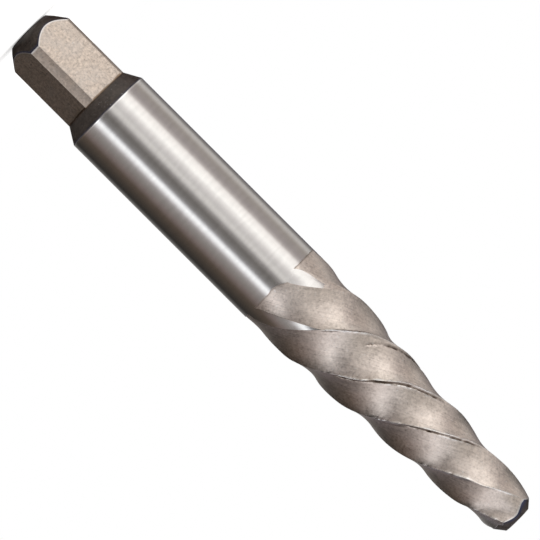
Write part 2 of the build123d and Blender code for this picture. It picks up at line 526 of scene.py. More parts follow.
class ToolMesh:
    """The whole tool as rings of points along its axis, with one column of points for each place
    round it."""

    def __init__(self, sizes):
        self.sizes = sizes
        self.flutes = Flutes(sizes)
        self.rings = []

    def ring(self, z, angle, radius, zone, wear_and_highlight=0.0, grime_and_shade=0.0, blue_reflection=0.0):
        """Adds one ring. The zone is the finish between it and the ring before."""
        values = (z, angle, radius, zone, wear_and_highlight, grime_and_shade, blue_reflection)
        self.rings.append([np.broadcast_to(value, COLUMNS + 1) for value in values])

    def half_flat(self):
        """Half the angle that one flat of the square takes up on the neck."""
        return math.acos(FLAT_DISTANCE / self.sizes.neck_radius)

    def from_flat(self, angles):
        """Angle of each column from the middle of the nearest flat."""
        quarter = 2 * math.pi / FLATS
        return (angles + quarter / 2) % quarter - quarter / 2

    def drive_columns(self):
        """Angle of each column round the drive and its distance from the axis on the square."""
        half_flat = self.half_flat()
        quarter = 2 * math.pi / FLATS
        flat = np.linspace(-half_flat, half_flat, FLAT_COLUMNS, endpoint=False)
        strip = np.linspace(half_flat, quarter - half_flat, STRIP_COLUMNS, endpoint=False)
        angles = np.concatenate([side * quarter + part for side in range(FLATS) for part in (flat, strip)])
        angles = np.roll(angles, -FLAT_COLUMNS // 2)
        angles[-(FLAT_COLUMNS // 2) :] += 2 * math.pi
        angles = np.append(angles, angles[0] + 2 * math.pi)
        radii = np.minimum(FLAT_DISTANCE / np.cos(self.from_flat(angles)), self.sizes.neck_radius)
        return angles, radii

    def flute_columns(self, z):
        """Angle of each column round the fluted end, its share of the way across its flute, and its
        distance along the surface from the nearest flute edge with that edge's number."""
        crests = np.array([self.flutes.crest_angle(z, crest) for crest in range(FLUTES + 1)])
        every = np.arange(COLUMNS + 1)
        start = crests[FLUTE_OF_COLUMN, every]
        span = crests[FLUTE_OF_COLUMN + 1, every] - start
        radius = np.minimum(self.flutes.crest_radius(z), SHANK_RADIUS)
        land = self.flutes.land_half_angle(z) * span / self.flutes.step
        least = LEAST_HALF_WIDTH / radius
        low_land = np.maximum(land, least)
        high_land = np.maximum(land * (1 - self.milled_share(z, FLUTE_OF_COLUMN + 1)), least)
        low = low_land * LAND_SHARE + BORDER_DISTANCE / radius
        high = span - high_land * LAND_SHARE - BORDER_DISTANCE / radius
        offsets = np.where(FACE_SHARE < 1, low + (high - low) * FACE_SHARE, high)
        shares = offsets / span
        first_half = shares < 0.5
        distances = np.where(first_half, offsets, offsets - span) * radius
        nearest = np.where(first_half, FLUTE_OF_COLUMN, (FLUTE_OF_COLUMN + 1) % FLUTES)
        angles = start + offsets
        for values, turn in ((angles, 2 * math.pi), (shares, 0), (distances, 0), (nearest, 0)):
            values[-1] = values[0] + turn
        return angles, shares, distances, nearest

    def milled_share(self, z, crest):
        """How much of a land's half is milled away by the flute before it."""
        places, shares = zip(*MILLED_SHARE)
        return np.interp(z / MM, places, shares) * (crest == MILLED_LAND)

    def end_cone(self, angles, square):
        """Rings of the end face and the cone round it. Gives the height at which the cone ends."""
        face = self.sizes.end_face_radius
        slope = math.tan(self.sizes.end_cone_angle)
        for share, lift, wear_and_highlight in END_FACE_ROUNDING:
            self.ring(lift * MM, angles, share * face, DARK, wear_and_highlight=wear_and_highlight)
        cone_end = (square - face) / slope
        for share, blue_reflection in END_CONE_RINGS:
            height = share * cone_end
            self.ring(height, angles, face + height * slope, DARK, blue_reflection=blue_reflection)
        before = square - EDGE_SPACING * slope
        # The arc edge: painted blue reflection, and wear with a painted highlight
        self.ring(cone_end - EDGE_SPACING, angles, before, DARK, blue_reflection=ARC_BLUE_REFLECTION)
        self.ring(cone_end, angles, square - EDGE_ROUNDING, DARK, wear_and_highlight=ARC_WEAR, blue_reflection=ARC_BLUE_REFLECTION)
        for spacings, wear_and_highlight in ARC_RINGS:
            self.ring(cone_end + spacings * EDGE_SPACING, angles, square, BLASTED, wear_and_highlight=wear_and_highlight)
        return cone_end

    def drive(self):
        """Rings of the end cone, the milled square and the shoulder."""
        angles, square = self.drive_columns()
        cone_end = self.end_cone(angles, square)
        drive_length = self.sizes.drive_length
        ledge = self.sizes.neck_radius - square
        on_flat = ledge > LEAST_LEDGE
        scale = uneven(angles * FLAT_DISTANCE, SCALE_WIDTH, SCALE_WAVES) * on_flat
        scale[-1] = scale[0]
        first = cone_end + FLAT_MARGIN
        last = drive_length - SCALE_MARGIN - scale
        corner_wear = self.corner_wear(angles)
        for share in np.linspace(0, 1, FLAT_RINGS):
            height = first + (last - first) * share
            self.ring(height, angles, square, BLASTED, wear_and_highlight=corner_wear, grime_and_shade=STRIP_GRIME * ~on_flat)
        self.ring(last + SCALE_FADE, angles, square, BLASTED, grime_and_shade=SCALE_GRIME)
        for spacings, share, finish, grime_and_shade in LEDGE_RINGS:
            height = drive_length - spacings * EDGE_SPACING
            self.ring(height, angles, square + share * ledge, finish, grime_and_shade=grime_and_shade)
        self.shoulder(angles)

    def corner_wear(self, angles):
        """Worn line along each corner of the square, where a flat meets the neck's own surface."""
        from_corner = np.abs(self.from_flat(angles)) - self.half_flat()
        return CORNER_WEAR * bell(from_corner * self.sizes.neck_radius, CORNER_WIDTH)

    def shoulder(self, angles):
        """The cone from the neck up to the shank, with its worn rim, which carries a painted highlight
        and a painted blue reflection.
        """
        start, neck = self.sizes.drive_length, self.sizes.neck_radius
        length = SHANK_START - start
        rise = SHANK_RADIUS - neck
        for share in SHOULDER_RINGS:
            self.ring(start + share * length, angles, neck + share * rise, DARK, wear_and_highlight=SHOULDER_WEAR)
        before = SHANK_RADIUS - EDGE_SPACING * rise / length
        # The rim: painted blue reflection, and wear with a painted highlight
        self.ring(SHANK_START - EDGE_SPACING, angles, before, DARK, blue_reflection=RIM_BLUE_REFLECTION)
        for spacings, sink, finish, wear_and_highlight, blue_reflection in RIM_RINGS:
            height = SHANK_START + spacings * EDGE_SPACING
            self.ring(height, angles, SHANK_RADIUS - sink * MM, finish, wear_and_highlight=wear_and_highlight, blue_reflection=blue_reflection)

    def shank(self):
        """Rings of the shank, over which the columns turn from the square's places to the flutes'."""
        drive_angles, _ = self.drive_columns()
        last = self.sizes.flute_start - FLUTE_MARGIN
        flute_angles, *_ = self.flute_columns(np.full(COLUMNS + 1, last))
        first = SHANK_START + SHANK_MARGIN
        for share in np.linspace(0, 1, SHANK_RINGS):
            blend = share * share * (3 - 2 * share)
            angles = drive_angles + (flute_angles - drive_angles) * blend
            self.ring(first + (last - first) * share, angles, SHANK_RADIUS, GROUND)

    def start_heights(self):
        """Height at which the cut starts in each column: nearly level, with small slips."""
        level = np.full(COLUMNS + 1, self.sizes.flute_start)
        angles, shares, _, _ = self.flute_columns(level)
        from_middle = (shares - 0.5) * math.degrees(self.flutes.step)
        slipped = SLIP_LENGTH * np.clip((SLIP_FROM - from_middle) / SLIP_OVER, 0, 1) ** SLIP_BEND
        slipped -= BITE_LENGTH * bell(from_middle - BITE_AT, BITE_OVER)
        wander = uneven(angles * SHANK_RADIUS, 0, START_WAVES)
        wander[-1] = wander[0]
        return level + wander + np.where(FLUTE_OF_COLUMN == SLIPPED_FLUTE, slipped, 0)

    def flute_ring(self, z, grime_and_shade=0.0, sink=0.0, least_wear_and_highlight=0.0):
        """Adds one ring of the fluted end, with the marks beside the flute edges, and gives the
        angles of its columns. Its dark colour in the grooves and in the corner of the start step is
        painted shade."""
        angles, shares, distances, nearest = self.flute_columns(z)
        plain = self.flutes.radius(z, (shares - 0.5) * self.flutes.step)
        radius = np.minimum(plain, SHANK_RADIUS) + self.fuller_faces(z, shares)
        is_land = self.flutes.land_half_angle(z) > LEAST_LAND
        on_land = is_land & ((NUMBER_IN_FLUTE < FIRST_BORDER) | (NUMBER_IN_FLUTE >= LAST_BORDER))
        groove, depth = self.grooves(z, distances, nearest)
        chips, crest = self.crest_marks(z, distances, nearest)
        burr, raised = self.burrs(z, distances, nearest)
        radius += ~is_land * (raised - chips - depth) - self.worn_corner(z, distances, nearest)
        radius = np.minimum(radius, SHANK_RADIUS)
        points = np.stack([np.cos(angles) * radius, np.sin(angles) * radius, z], axis=1)
        waves = 0.5 + 0.5 * rough_field(points, WAVE_SEED, WAVE_LENGTH)
        radius -= WAVE_DEPTH * (1 - bell(distances, WAVELESS_WIDTH)) * waves * ~on_land
        # Wear with painted highlights: bright lines along the edges and on the burrs
        wear_and_highlight = np.where(is_land, 0, np.maximum(crest * (1 - groove), burr))
        wear_and_highlight = np.maximum(wear_and_highlight, self.tip_wear_and_highlight(z, shares, distances, nearest))
        # Painted shade: dark colour in the grooves beside the edges and in the corner of the start step
        painted_shade = np.maximum(groove * ~is_land, np.where(plain < SHANK_RADIUS, grime_and_shade, 0))
        milled = (z > MILLED_ACROSS * MM) & (nearest == MILLED_LAND)
        finish = np.where(on_land & ~milled, GROUND, SATIN)
        self.ring(z, angles, radius - sink, finish, wear_and_highlight=np.maximum(wear_and_highlight, least_wear_and_highlight), grime_and_shade=painted_shade)
        return angles

    def grooves(self, z, distances, nearest):
        """Painted shade of each column in a groove beside an edge, and the groove's depth there."""
        share = np.zeros(COLUMNS + 1)
        depth = np.zeros(COLUMNS + 1)
        height = z / MM
        for number, groove in enumerate(EDGE_GROOVES):
            edge, low, high, offset, end_offset, half_width, deep, painted_shade = groove
            along = (height - low) / (high - low)
            inside = np.clip(np.minimum(along, 1 - along) * (high - low) / GROOVE_FADE, 0, 1)
            rough = np.maximum(uneven(height, 0.92, GROOVE_DEPTH_WAVES, number), 0.55)
            middle = offset + (end_offset - offset) * np.clip(along, 0, 1)
            middle = uneven(height, middle, GROOVE_LINE_WAVES, number)
            across = (distances / MM - middle) / half_width
            hollow = np.clip(1 - across**2, 0, 1) ** 1.5
            here = np.where(nearest == edge, hollow * inside * rough, 0)
            share = np.maximum(share, np.clip(1.2 * here, 0, 1) * painted_shade)
            depth = np.maximum(depth, here * deep * MM)
        return share, depth

    def burrs(self, z, distances, nearest):
        """How far each column is on a burr along an edge, which gets a painted highlight, and the
        burr's height there.
        """
        share = np.zeros(COLUMNS + 1)
        raised = np.zeros(COLUMNS + 1)
        height = z / MM
        for number, (edge, low, high, offset, half_width, tall) in enumerate(EDGE_BURRS):
            inside = np.clip(np.minimum(height - low, high - height) / BURR_FADE, 0, 1)
            ragged = np.clip(uneven(height, 0.74, BURR_HEIGHT_WAVES, number), 0, 1.2)
            middle = uneven(height, offset, BURR_LINE_WAVES, number)
            ridge = bell(distances / MM - middle, half_width)
            here = np.where(nearest == edge, ridge * inside * ragged, 0)
            share = np.maximum(share, here)
            raised = np.maximum(raised, here * tall * MM)
        return np.clip(share, 0, 1), raised

    def crest_marks(self, z, distances, nearest):
        """Small chips out of the flute edges, and how bright each edge is worn, which is partly a
        painted highlight.
        """
        chips = np.zeros(COLUMNS + 1)
        worn_highlight = np.zeros(COLUMNS + 1)
        height = z / MM
        large_edge, large_height, large_length, large_depth = LARGE_CHIP
        for edge in range(FLUTES):
            here = nearest == edge
            rough = uneven(height[here], 0, CHIP_WAVES, edge)
            chips[here] = CHIP_DEPTH * np.clip(rough - CHIP_RARITY, 0, 1)
            if edge == large_edge:
                chips[here] += large_depth * MM * bell(height[here] - large_height, large_length)
            worn_highlight[here] = np.clip(uneven(height[here], 0.6, WORN_WAVES, edge), 0, 1)
        chips *= np.exp(-np.abs(distances) / CHIP_WIDTH)
        worn_highlight *= bell(distances, WORN_HIGHLIGHT_LINE)
        return chips, worn_highlight

    def fuller_faces(self, z, shares):
        """How much fuller a face is in its first half, and how much leaner in its second."""
        fuller = np.zeros(COLUMNS + 1)
        for flute, middle, reach, height in FULLER_FACES:
            near = np.clip(1 - ((z / MM - middle) / reach) ** 2, 0, 1) ** 2
            bulge = height * MM * near * np.sin(2 * math.pi * shares)
            fuller += np.where(FLUTE_OF_COLUMN == flute, bulge, 0)
        return fuller

    def worn_corner(self, z, distances, nearest):
        """How much the worn flute edge is rounded where it reaches the tip."""
        near_tip = rising(z / MM, CORNER_FROM, CORNER_OVER) ** 2
        depth = CORNER_DEPTH * MM * near_tip * bell(distances, CORNER_HALF_WIDTH * MM)
        return np.where(nearest == WORN_EDGE, depth, 0)

    def tip_wear_and_highlight(self, z, shares, distances, nearest):
        """Brighter steel on the worn corner at the tip and on the face beside it, partly a painted
        highlight.
        """
        first_fade, last_fade = FACE_FADES
        near_tip = rising(z / MM, FACE_BRIGHT_FROM, FACE_BRIGHT_OVER)
        beside = rising(shares, 0, first_fade) * rising(1 - shares, 0, last_fade)
        face = np.where(FLUTE_OF_COLUMN == WORN_FACE, FACE_BRIGHTNESS * near_tip * beside, 0)
        near_tip = rising(z / MM, EDGE_BRIGHT_FROM, EDGE_BRIGHT_OVER)
        corner = near_tip * bell(distances, EDGE_BRIGHT_WIDTH * MM)
        return np.maximum(face, np.where(nearest == WORN_EDGE, corner, 0))

    def fluted_end(self):
        """Rings of the flutes, from their start to the tip's chamfer."""
        start = self.start_heights()
        for before, sink in RINGS_BEFORE_START:
            z = start - before * MM
            angles, *_ = self.flute_columns(z)
            self.ring(z, angles, SHANK_RADIUS - sink, GROUND)
        # The first rings after the start step get painted shade in its corner
        for past, grime_and_shade in STEP_RINGS:
            self.flute_ring(start + past * MM, grime_and_shade=grime_and_shade)
        tip = self.chamfer_heights()
        first = start + STEP_END * MM
        last = tip - TIP_MARGIN * MM
        for share in np.linspace(0, 1, FLUTE_RINGS):
            self.flute_ring(first + (last - first) * share)
        self.tip(tip)

    def chamfer_heights(self):
        """Height at which each column reaches the tip's chamfer."""
        z = np.full(COLUMNS + 1, OVERALL_LENGTH - CHAMFER_GUESS)
        for _ in range(CHAMFER_STEPS):
            angles, shares, distances, nearest = self.flute_columns(z)
            radius = self.flutes.radius(z, (shares - 0.5) * self.flutes.step)
            radius += self.fuller_faces(z, shares) - self.worn_corner(z, distances, nearest)
            z = OVERALL_LENGTH + self.sizes.tip_face_radius + self.chamfer_reach(angles) - radius
        return z

    def chamfer_reach(self, angles):
        """How much further the hand-ground chamfer reaches at each angle round the tool."""
        places, reaches = zip(*CHAMFER_REACH)
        turn = (np.degrees(angles) + 180) % 360 - 180
        return np.interp(turn, places, reaches) * MM

    def tip(self, z):
        """Rings of the chamfer and the flat face of the tip."""
        # Wear with a painted highlight along the edge of the chamfer
        for before, wear_and_highlight in TIP_EDGE_RINGS:
            angles = self.flute_ring(z - before * MM, least_wear_and_highlight=wear_and_highlight)
        self.flute_ring(z, sink=TIP_EDGE_ROUNDING, least_wear_and_highlight=1)
        face = self.sizes.tip_face_radius
        reach = self.chamfer_reach(angles)
        # Painted bluish reflection on one side of the chamfer
        blue_share = self.blue_reflection_patch(angles)
        first_margin, last_margin = CHAMFER_MARGINS
        first = z + first_margin * MM
        last = OVERALL_LENGTH - last_margin * MM
        for share, blue_reflection in CHAMFER_RINGS:
            height = first + (last - first) * share
            radius = face + (1 - share) * reach + OVERALL_LENGTH - height
            self.ring(height, angles, radius, DARK, blue_reflection=blue_reflection * blue_share)
        for below, beyond, wear_and_highlight in TIP_RIM_RINGS:
            self.ring(OVERALL_LENGTH - below * MM, angles, face + beyond * MM, DARK, wear_and_highlight=wear_and_highlight)
        for share in TIP_FACE_RINGS:
            self.ring(OVERALL_LENGTH, angles, share * face, DARK)

    def blue_reflection_patch(self, angles):
        """Where round the chamfer a bluish reflection is painted: on one side of the tool, unevenly."""
        from_middle = (np.degrees(angles) - BLUE_REFLECTION_SIDE + 180) % 360 - 180
        strength = uneven(np.sin(angles), 1.5, BLUE_REFLECTION_WAVES)
        return np.clip(strength * (1 - (from_middle / BLUE_REFLECTION_REACH) ** 2), 0, 1)

    def build(self, name, finishes):
        """Makes the closed mesh from the rings."""
        self.drive()
        self.shank()
        self.fluted_end()
        rings = np.array(self.rings, float).transpose(1, 0, 2)
        heights, angles, radii, zones, *marks = rings
        points = np.stack([radii * np.cos(angles), radii * np.sin(angles), heights], axis=2)
        corners = self.with_runout(points[:, :COLUMNS]).reshape(-1, 3)
        ends = self.with_runout(np.array([[(0, 0, heights[0, 0]), (0, 0, heights[-1, 0])]]))[0]
        mesh = bpy.data.meshes.new(name)
        mesh.from_pydata(np.concatenate([corners, ends]).tolist(), [], self.faces(len(heights)))
        for finish in finishes:
            mesh.materials.append(finish)
        zones = np.concatenate([zones[1:, :COLUMNS].ravel(), np.full(2 * COLUMNS, DARK)])
        mesh.polygons.foreach_set("material_index", zones.astype(np.int32))
        mesh.polygons.foreach_set("use_smooth", np.ones(len(zones), bool))
        # The marks: wear with painted highlights, scale with painted shade, and a painted blue reflection
        for label, values in zip(("wear_and_highlight", "grime_and_shade", "blue_reflection"), marks):
            attribute = mesh.attributes.new(label, "FLOAT", "POINT")
            flat = np.append(values[:, :COLUMNS].ravel(), [0, 0])
            attribute.data.foreach_set("value", flat.astype(np.float32))
        self.unwrap(mesh, points, angles)
        mesh.set_sharp_from_angle(angle=math.radians(CRISP_TURN))
        self.sharpen_lands(mesh, heights)
        mesh.validate()
        return mesh

    def faces(self, rings):
        """Four-sided faces between the rings, and a fan of triangles at each end."""
        this = np.arange(COLUMNS)
        following = (this + 1) % COLUMNS
        lower = np.arange(rings - 1).reshape(-1, 1) * COLUMNS
        upper = lower + COLUMNS
        quads = np.stack([lower + this, lower + following, upper + following, upper + this], axis=2)
        bottom, top = rings * COLUMNS, rings * COLUMNS + 1
        last_ring = (rings - 1) * COLUMNS
        faces = quads.reshape(-1, 4).tolist()
        faces += [(bottom, int(b), int(a)) for a, b in zip(this, following)]
        faces += [(top, last_ring + int(a), last_ring + int(b)) for a, b in zip(this, following)]
        return faces

    def sharpen_lands(self, mesh, heights):
        """Keeps the edges between lands and flutes crisp, although they turn by few degrees."""
        ends = np.zeros(2 * len(mesh.edges), np.int32)
        mesh.edges.foreach_get("vertices", ends)
        ends = np.minimum(ends.reshape(-1, 2), heights.shape[0] * COLUMNS - 1)
        rings, columns = ends // COLUMNS, ends % COLUMNS
        on_border = np.isin(columns[:, 0] % COLUMNS_PER_FLUTE, (FIRST_BORDER, LAST_BORDER))
        z = heights[rings[:, 0], columns[:, 0]]
        between = (z > self.sizes.flute_start) & (self.flutes.land_half_angle(z) > LEAST_LAND)
        crisp = on_border & between & (columns[:, 0] == columns[:, 1])
        sharp = np.zeros(len(mesh.edges), bool)
        mesh.attributes["sharp_edge"].data.foreach_get("value", sharp)
        mesh.attributes["sharp_edge"].data.foreach_set("value", sharp | crisp)

    def with_runout(self, points):
        """Shifts both ends off the shank's axis a little, as hardening and grinding left them."""
        heights, shifts = zip(*RUNOUT)
        shift = smooth_curve(points[:, :, 2], np.array(heights) * MM, np.array(shifts) * MM)
        towards = math.radians(RUNOUT_ANGLE)
        return points + np.stack([shift * math.cos(towards), shift * math.sin(towards), 0 * shift], axis=2)

    def unwrap(self, mesh, points, angles):
        """Lays the surface out in millimetres, across and along the flutes, for marks that follow them."""
        radius = np.linalg.norm(points[:, :, :2], axis=2)
        flute = FLUTE_OF_COLUMN[:COLUMNS]
        start = angles[:, flute * COLUMNS_PER_FLUTE]
        across = (angles[:, :-1] - start) * radius[:, :-1] + STRIP_GAP * flute
        following = (angles[:, 1:] - start) * radius[:, 1:] + STRIP_GAP * flute
        heights = points[:, :COLUMNS, 2]
        sides = [across[:-1], following[:-1], following[1:], across[1:]]
        rises = [heights[:-1], heights[:-1], heights[1:], heights[1:]]
        quads = np.stack([np.stack(sides, axis=2), np.stack(rises, axis=2)], axis=3)
        end_corners = np.zeros((2 * 3 * COLUMNS, 2))
        places = np.concatenate([quads.reshape(-1, 2) / MM, end_corners])
        layer = mesh.uv_layers.new(name=LAYOUT)
        layer.data.foreach_set("uv", places.astype(np.float32).ravel())


class Nodes:
    """A node tree, with short ways to add its nodes and join them. Wherever a value is asked for,
    another node's output will do."""

    def __init__(self, owner):
        owner.use_nodes = True
        self.tree = owner.node_tree

    def put(self, socket, value):
        """Gives an input its value."""
        if isinstance(value, bpy.types.NodeSocket):
            self.tree.links.new(value, socket)
        else:
            socket.default_value = value

    def add(self, kind, inputs=None, **settings):
        """Adds a node with its inputs and settings."""
        node = self.tree.nodes.new(kind)
        for setting, value in settings.items():
            setattr(node, setting, value)
        for name, value in (inputs or {}).items():
            self.put(node.inputs[name], value)
        return node

    def level(self, value, low, high, to_low=0.0, to_high=1.0):
        """Spreads the values between two levels over two others, and holds them there."""
        inputs = {"Value": value, "From Min": low, "From Max": high, "To Min": to_low, "To Max": to_high}
        return self.add("ShaderNodeMapRange", inputs, clamp=True).outputs[0]

    def sums(self, operation, first, second):
        """One step of arithmetic with two values."""
        return self.add("ShaderNodeMath", {0: first, 1: second}, operation=operation).outputs[0]

    def times(self, value, factor):
        """A value made larger or smaller."""
        return self.sums("MULTIPLY", value, factor)

    def mixed(self, share, first, second):
        """Colour between two others."""
        mix = self.add("ShaderNodeMix", data_type="RGBA")
        for number, value in ((0, share), (6, first), (7, second)):
            self.put(mix.inputs[number], (*value, 1.0) if isinstance(value, tuple) else value)
        return mix.outputs[2]


class Finish(Nodes):
    """One procedural steel finish."""

    def __init__(self, name, metallic=1.0):
        self.material = bpy.data.materials.new(name)
        super().__init__(self.material)
        self.surface = self.tree.nodes["Principled BSDF"]
        self.surface.inputs["Metallic"].default_value = metallic

    def stretched(self, places, scale):
        """Places stretched by a scale for each way."""
        return self.add("ShaderNodeMapping", {"Vector": places, "Scale": scale}).outputs[0]

    def noise(self, places, detail=3.0, roughness=0.55):
        """Uneven value from 0 to 1, with bumps about one unit of the places long."""
        inputs = {"Vector": places, "Scale": 1.0, "Detail": detail, "Roughness": roughness}
        return self.add("ShaderNodeTexNoise", inputs).outputs["Fac"]

    def in_space(self, scale, **settings):
        """Noise in the tool's own space, with so many bumps to the millimetre each way."""
        place = self.add("ShaderNodeTexCoord").outputs["Object"]
        per_metre = tuple(value / MM for value in scale)
        return self.noise(self.stretched(place, per_metre), **settings)

    def grain(self, fineness, **settings):
        """Noise in the tool's own space that is as fine every way."""
        return self.in_space((fineness, fineness, fineness), **settings)

    def on_surface(self, scale, **settings):
        """Noise with so many bumps to the millimetre across and along the surface."""
        place = self.add("ShaderNodeUVMap", uv_map=LAYOUT).outputs["UV"]
        return self.noise(self.stretched(place, (*scale, 1.0)), **settings)

    def mark(self, name):
        """A mark that the mesh carries at each of its points, such as wear."""
        return self.add("ShaderNodeAttribute", attribute_name=name).outputs["Fac"]

    def layered(self, tone, *layers):
        """Tone with colours laid over it in turn: the colour, where, and its share there at most.
        Where is a value or the name of a mark."""
        for colour, where, most in layers:
            value = self.mark(where) if isinstance(where, str) else where
            tone = self.mixed(self.times(value, most), tone, colour)
        return tone

    def shades(self, value, colour, darker, lighter, low, high):
        """Colour that runs from a darker to a lighter one as the value rises."""
        return self.mixed(self.level(value, low, high), scaled(colour, darker), scaled(colour, lighter))

    def relief(self, *layers):
        """Relief of several values, each with its depth in millimetres."""
        normal = None
        for value, depth in layers:
            inputs = {"Height": value, "Distance": depth * MM, "Strength": 1.0}
            if normal is not None:
                inputs["Normal"] = normal
            normal = self.add("ShaderNodeBump", inputs).outputs["Normal"]
        return normal

    def finish(self, colour, roughness, normal):
        """Joins what was made to the surface and gives the material."""
        for socket, value in (("Base Color", colour), ("Roughness", roughness), ("Normal", normal)):
            self.tree.links.new(value, self.surface.inputs[socket])
        return self.material


def scaled(colour, factor):
    """A colour made lighter or darker."""
    return tuple(min(1.0, channel * factor) for channel in colour)


# Bright worn steel and specks, also used for painted highlights on edges, burrs and rims
WORN_AND_HIGHLIGHT_COLOUR = (0.92, 0.91, 0.90)
# Dirt in the grain's hollows, and painted shade in the grooves and corners
GRIME_AND_SHADE_COLOUR = (0.10, 0.065, 0.045)
SCALE_COLOUR = (0.16, 0.085, 0.03)
LEDGE_COLOUR = (0.10, 0.05, 0.02)
COOL_COLOUR = (0.60, 0.57, 0.55)
# Painted bluish reflection on the dark edges and the tip's chamfer
BLUE_REFLECTION_COLOUR = (0.03, 0.055, 0.16)


def ground_steel(colour):
    """Cylindrically ground steel: smooth, with fine lines round the axis and a faint mottle."""
    finish = Finish("ground_steel")
    lines = finish.in_space((0.5, 0.5, 9.0), detail=4)
    mottle = finish.in_space((0.35, 0.35, 1.6), detail=3)
    specks = finish.level(finish.in_space((3.0, 3.0, 4.0), detail=2), 0.70, 0.76)
    tone = finish.shades(mottle, colour, 0.95, 1.04, 0.3, 0.7)
    tone = finish.layered(
        tone,
        (WORN_AND_HIGHLIGHT_COLOUR, specks, 0.35),
        # wear, with a painted highlight on the shank's rim
        (WORN_AND_HIGHLIGHT_COLOUR, "wear_and_highlight", 0.7),
        # painted shade by the flutes' start
        (GRIME_AND_SHADE_COLOUR, "grime_and_shade", 0.8),
    )
    roughness = finish.level(lines, 0.3, 0.7, 0.12, 0.19)
    return finish.finish(tone, roughness, finish.relief((mottle, 0.006), (lines, 0.0006)))


def satin_steel(colour):
    """Milled flute faces: satin, with striations along the flute, fine grain and marks across."""
    finish = Finish("satin_steel")
    striations = finish.on_surface((4.5, 0.28), detail=5, roughness=0.6)
    across = finish.on_surface((0.8, 2.6), detail=3, roughness=0.5)
    grain = finish.grain(3.2, detail=5, roughness=0.65)
    broad = finish.grain(0.45, detail=2)
    blotches = finish.grain(1.3, detail=3, roughness=0.6)
    shade = finish.times(striations, 0.3)
    for marks, share in ((grain, 0.46), (blotches, 0.24)):
        shade = finish.sums("ADD", shade, finish.times(marks, share))
    tone = finish.shades(shade, colour, 0.60, 1.36, 0.35, 0.65)
    tone = finish.mixed(finish.level(broad, 0.4, 0.7, 0, 0.3), tone, scaled(colour, 1.15))
    hollows = finish.level(grain, 0.36, 0.29)
    specks = finish.level(finish.grain(3.6, detail=2), 0.66, 0.72)
    tone = finish.layered(
        tone,
        (GRIME_AND_SHADE_COLOUR, hollows, 0.45),
        (WORN_AND_HIGHLIGHT_COLOUR, specks, 0.5),
        # wear, with painted highlights along the edges, on the burrs and near the tip
        (WORN_AND_HIGHLIGHT_COLOUR, "wear_and_highlight", 0.75),
        # painted shade in the grooves and in the corner of the flutes' start
        (GRIME_AND_SHADE_COLOUR, "grime_and_shade", 0.93),
    )
    roughness = finish.level(grain, 0.3, 0.7, 0.30, 0.40)
    roughness = finish.sums("SUBTRACT", roughness, finish.times(finish.mark("wear_and_highlight"), 0.14))
    relief = [(broad, 0.02), (across, 0.006), (striations, 0.009), (blotches, 0.015), (grain, 0.012)]
    return finish.finish(tone, roughness, finish.relief(*relief))


def blasted_steel(colour):
    """The drive square as it comes from hardening and blasting: dull and evenly mottled."""
    finish = Finish("blasted_steel")
    mottle = finish.grain(2.1, detail=4, roughness=0.6)
    grain = finish.grain(4.0, detail=4, roughness=0.6)
    cooler = finish.grain(0.35, detail=2)
    tone = finish.shades(finish.sums("ADD", mottle, grain), colour, 0.66, 1.34, 0.7, 1.3)
    tone = finish.mixed(finish.level(cooler, 0.45, 0.65, 0, 0.25), tone, COOL_COLOUR)
    hollows = finish.level(grain, 0.36, 0.29)
    specks = finish.level(finish.grain(3.4, detail=2), 0.66, 0.72)
    tone = finish.layered(
        tone,
        (GRIME_AND_SHADE_COLOUR, hollows, 0.45),
        (WORN_AND_HIGHLIGHT_COLOUR, specks, 0.45),
        # wear, with a painted highlight along the arcs of the end cone
        (WORN_AND_HIGHLIGHT_COLOUR, "wear_and_highlight", 0.7),
        (SCALE_COLOUR, "grime_and_shade", 0.85),
    )
    roughness = finish.level(mottle, 0.3, 0.7, 0.38, 0.48)
    return finish.finish(tone, roughness, finish.relief((mottle, 0.020), (grain, 0.014)))


def dark_steel(colour):
    """Turned ends that keep their dark hardening scale: fine turning lines, a few bright specks, and
    a painted blue reflection at the edges and on the tip's chamfer.
    """
    finish = Finish("dark_steel", metallic=0.4)
    lines = finish.in_space((0.4, 0.4, 7.0), detail=4)
    mottle = finish.grain(1.3, detail=4)
    specks = finish.level(finish.grain(4.0, detail=2), 0.68, 0.74)
    grain = finish.grain(3.5, detail=3, roughness=0.6)
    tone = finish.shades(finish.sums("ADD", mottle, grain), colour, 0.5, 1.5, 0.7, 1.3)
    tone = finish.mixed(finish.level(lines, 0.4, 0.7, 0, 0.4), tone, scaled(colour, 1.35))
    tone = finish.layered(
        tone,
        (WORN_AND_HIGHLIGHT_COLOUR, specks, 0.25),
        # wear, with painted highlights on the edges
        (WORN_AND_HIGHLIGHT_COLOUR, "wear_and_highlight", 0.85),
        (LEDGE_COLOUR, "grime_and_shade", 0.7),
        # painted blue reflection at the edges and on the tip's chamfer
        (BLUE_REFLECTION_COLOUR, "blue_reflection", 0.7),
    )
    roughness = finish.level(mottle, 0.3, 0.7, 0.40, 0.52)
    return finish.finish(tone, roughness, finish.relief((lines, 0.002), (mottle, 0.006)))


